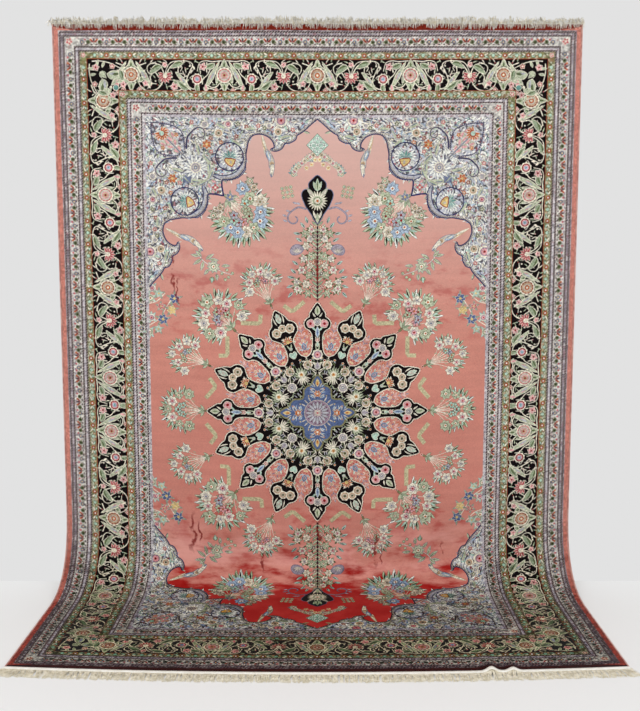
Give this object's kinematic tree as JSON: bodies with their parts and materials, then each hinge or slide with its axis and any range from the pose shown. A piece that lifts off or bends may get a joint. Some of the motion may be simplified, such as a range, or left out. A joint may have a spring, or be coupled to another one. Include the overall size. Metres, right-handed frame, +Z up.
{
  "type": "kashmir silk rug hung from its top edge with its lower end on the floor",
  "caption": "Fringed knotted silk rug with a floral medallion, hanging from its top edge and sweeping in a curve onto the floor in front of it",
  "frame": {"origin": "middle of the rug's top edge, on its back, where it is held up", "axes": "+Z up, +X along the rug's width, -Y out of the pile of the hanging part and along the part on the floor"},
  "size_m": [1.8439, 0.8344, 2.0137],
  "materials": {
    "silk_pile": "short knotted silk pile with a soft lustre, salmon field, black and cream floral borders",
    "edge_cord": "madder red yarn overcast in close turns",
    "warp_fringe": "matt cream warp yarn"
  },
  "bodies": {
    "root": {"rug": "silk_pile", "selvedge_left": "edge_cord", "selvedge_right": "edge_cord", "fringe_top": "warp_fringe", "fringe_bottom": "warp_fringe"}
  },
  "joints": []
}
